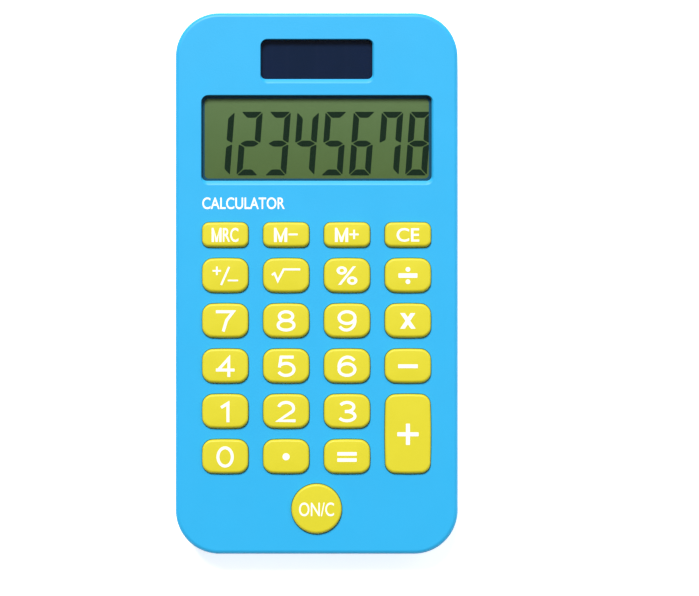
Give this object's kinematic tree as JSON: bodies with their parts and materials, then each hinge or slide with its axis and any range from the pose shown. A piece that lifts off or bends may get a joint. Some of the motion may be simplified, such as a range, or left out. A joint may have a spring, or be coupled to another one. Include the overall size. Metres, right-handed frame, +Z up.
{
  "type": "desk calculator",
  "caption": "Slim flat calculator with a printed-digit display, solar and button-cell power, a grid of push keys over a rubber mat, and a screwed battery door in the back.",
  "frame": {"origin": "on the surface under the feet, below the middle of the case", "axes": "+X to the user's right, +Y from the keys towards the display and the solar cell, +Z up out of the front face"},
  "size_m": [0.06, 0.115, 0.01],
  "materials": {
    "case_plastic": "satin moulded blue",
    "key_plastic": "satin moulded yellow with printed white legends",
    "screw_steel": "zinc plated",
    "foot_rubber": "matt black",
    "clear_plastic": "clear and polished",
    "polariser_film": "grey-green film",
    "display_glass": "thin display glass",
    "reflector_foil": "satin foil",
    "zebra_rubber": "layered conductive rubber",
    "mat_silicone": "translucent grey silicone",
    "board_laminate": "green solder mask",
    "chip_resin": "black potting resin",
    "chip_ceramic": "plain ceramic",
    "solar_glass": "dark amorphous silicon behind glass",
    "cell_steel": "bright nickel plated",
    "contact_steel": "spring steel strip",
    "red_insulation": "red wire insulation",
    "black_insulation": "black wire insulation"
  },
  "bodies": {
    "case": {"front_case": "case_plastic", "rear_case": "case_plastic", "case_screw_upper_left": "screw_steel", "case_screw_upper_right": "screw_steel", "case_screw_lower_left": "screw_steel", "case_screw_lower_right": "screw_steel", "foot_upper_left": "foot_rubber", "foot_upper_right": "foot_rubber", "foot_lower_left": "foot_rubber", "foot_lower_right": "foot_rubber", "display_window": "clear_plastic", "lcd_polariser": "polariser_film", "lcd_front_glass": "display_glass", "lcd_rear_glass": "display_glass", "lcd_reflector": "reflector_foil", "zebra_strip": "zebra_rubber", "rubber_mat": "mat_silicone", "circuit_board": "board_laminate", "chip_blob": "chip_resin", "capacitor_chip": "chip_ceramic", "resistor_chip": "chip_ceramic", "solar_window": "clear_plastic", "solar_cell": "solar_glass", "button_cell": "cell_steel", "battery_contact_negative": "contact_steel", "battery_contact_positive": "contact_steel", "battery_lead_red": "red_insulation", "battery_lead_black": "black_insulation", "solar_lead_red": "red_insulation", "solar_lead_black": "black_insulation"},
    "key_mrc": {"key_mrc": "key_plastic"},
    "key_m_minus": {"key_m_minus": "key_plastic"},
    "key_m_plus": {"key_m_plus": "key_plastic"},
    "key_ce": {"key_ce": "key_plastic"},
    "key_sign": {"key_sign": "key_plastic"},
    "key_root": {"key_root": "key_plastic"},
    "key_percent": {"key_percent": "key_plastic"},
    "key_divide": {"key_divide": "key_plastic"},
    "key_7": {"key_7": "key_plastic"},
    "key_8": {"key_8": "key_plastic"},
    "key_9": {"key_9": "key_plastic"},
    "key_multiply": {"key_multiply": "key_plastic"},
    "key_4": {"key_4": "key_plastic"},
    "key_5": {"key_5": "key_plastic"},
    "key_6": {"key_6": "key_plastic"},
    "key_minus": {"key_minus": "key_plastic"},
    "key_1": {"key_1": "key_plastic"},
    "key_2": {"key_2": "key_plastic"},
    "key_3": {"key_3": "key_plastic"},
    "key_plus": {"key_plus": "key_plastic"},
    "key_0": {"key_0": "key_plastic"},
    "key_point": {"key_point": "key_plastic"},
    "key_equals": {"key_equals": "key_plastic"},
    "key_on_clear": {"key_on_clear": "key_plastic"},
    "battery_door": {"battery_door": "case_plastic", "battery_door_screw": "screw_steel"}
  },
  "joints": [
    {"name": "key_mrc_press", "type": "slide", "parent": "case", "child": "key_mrc", "axis": [0, 0, -1], "range_m": [0, 0.0007], "stiffness_N_per_m": 1200, "deforming": ["rubber_mat"]},
    {"name": "key_m_minus_press", "type": "slide", "parent": "case", "child": "key_m_minus", "axis": [0, 0, -1], "range_m": [0, 0.0007], "stiffness_N_per_m": 1200, "deforming": ["rubber_mat"]},
    {"name": "key_m_plus_press", "type": "slide", "parent": "case", "child": "key_m_plus", "axis": [0, 0, -1], "range_m": [0, 0.0007], "stiffness_N_per_m": 1200, "deforming": ["rubber_mat"]},
    {"name": "key_ce_press", "type": "slide", "parent": "case", "child": "key_ce", "axis": [0, 0, -1], "range_m": [0, 0.0007], "stiffness_N_per_m": 1200, "deforming": ["rubber_mat"]},
    {"name": "key_sign_press", "type": "slide", "parent": "case", "child": "key_sign", "axis": [0, 0, -1], "range_m": [0, 0.0007], "stiffness_N_per_m": 1200, "deforming": ["rubber_mat"]},
    {"name": "key_root_press", "type": "slide", "parent": "case", "child": "key_root", "axis": [0, 0, -1], "range_m": [0, 0.0007], "stiffness_N_per_m": 1200, "deforming": ["rubber_mat"]},
    {"name": "key_percent_press", "type": "slide", "parent": "case", "child": "key_percent", "axis": [0, 0, -1], "range_m": [0, 0.0007], "stiffness_N_per_m": 1200, "deforming": ["rubber_mat"]},
    {"name": "key_divide_press", "type": "slide", "parent": "case", "child": "key_divide", "axis": [0, 0, -1], "range_m": [0, 0.0007], "stiffness_N_per_m": 1200, "deforming": ["rubber_mat"]},
    {"name": "key_7_press", "type": "slide", "parent": "case", "child": "key_7", "axis": [0, 0, -1], "range_m": [0, 0.0007], "stiffness_N_per_m": 1200, "deforming": ["rubber_mat"]},
    {"name": "key_8_press", "type": "slide", "parent": "case", "child": "key_8", "axis": [0, 0, -1], "range_m": [0, 0.0007], "stiffness_N_per_m": 1200, "deforming": ["rubber_mat"]},
    {"name": "key_9_press", "type": "slide", "parent": "case", "child": "key_9", "axis": [0, 0, -1], "range_m": [0, 0.0007], "stiffness_N_per_m": 1200, "deforming": ["rubber_mat"]},
    {"name": "key_multiply_press", "type": "slide", "parent": "case", "child": "key_multiply", "axis": [0, 0, -1], "range_m": [0, 0.0007], "stiffness_N_per_m": 1200, "deforming": ["rubber_mat"]},
    {"name": "key_4_press", "type": "slide", "parent": "case", "child": "key_4", "axis": [0, 0, -1], "range_m": [0, 0.0007], "stiffness_N_per_m": 1200, "deforming": ["rubber_mat"]},
    {"name": "key_5_press", "type": "slide", "parent": "case", "child": "key_5", "axis": [0, 0, -1], "range_m": [0, 0.0007], "stiffness_N_per_m": 1200, "deforming": ["rubber_mat"]},
    {"name": "key_6_press", "type": "slide", "parent": "case", "child": "key_6", "axis": [0, 0, -1], "range_m": [0, 0.0007], "stiffness_N_per_m": 1200, "deforming": ["rubber_mat"]},
    {"name": "key_minus_press", "type": "slide", "parent": "case", "child": "key_minus", "axis": [0, 0, -1], "range_m": [0, 0.0007], "stiffness_N_per_m": 1200, "deforming": ["rubber_mat"]},
    {"name": "key_1_press", "type": "slide", "parent": "case", "child": "key_1", "axis": [0, 0, -1], "range_m": [0, 0.0007], "stiffness_N_per_m": 1200, "deforming": ["rubber_mat"]},
    {"name": "key_2_press", "type": "slide", "parent": "case", "child": "key_2", "axis": [0, 0, -1], "range_m": [0, 0.0007], "stiffness_N_per_m": 1200, "deforming": ["rubber_mat"]},
    {"name": "key_3_press", "type": "slide", "parent": "case", "child": "key_3", "axis": [0, 0, -1], "range_m": [0, 0.0007], "stiffness_N_per_m": 1200, "deforming": ["rubber_mat"]},
    {"name": "key_plus_press", "type": "slide", "parent": "case", "child": "key_plus", "axis": [0, 0, -1], "range_m": [0, 0.0007], "stiffness_N_per_m": 1200, "deforming": ["rubber_mat"]},
    {"name": "key_0_press", "type": "slide", "parent": "case", "child": "key_0", "axis": [0, 0, -1], "range_m": [0, 0.0007], "stiffness_N_per_m": 1200, "deforming": ["rubber_mat"]},
    {"name": "key_point_press", "type": "slide", "parent": "case", "child": "key_point", "axis": [0, 0, -1], "range_m": [0, 0.0007], "stiffness_N_per_m": 1200, "deforming": ["rubber_mat"]},
    {"name": "key_equals_press", "type": "slide", "parent": "case", "child": "key_equals", "axis": [0, 0, -1], "range_m": [0, 0.0007], "stiffness_N_per_m": 1200, "deforming": ["rubber_mat"]},
    {"name": "key_on_clear_press", "type": "slide", "parent": "case", "child": "key_on_clear", "axis": [0, 0, -1], "range_m": [0, 0.0007], "stiffness_N_per_m": 1200, "deforming": ["rubber_mat"]},
    {"name": "battery_door_tilt", "type": "hinge", "parent": "case", "child": "battery_door", "pos_m": [0, 0.0549, 0.0006], "axis": [1, 0, 0], "range_deg": [0, 40]}
  ]
}
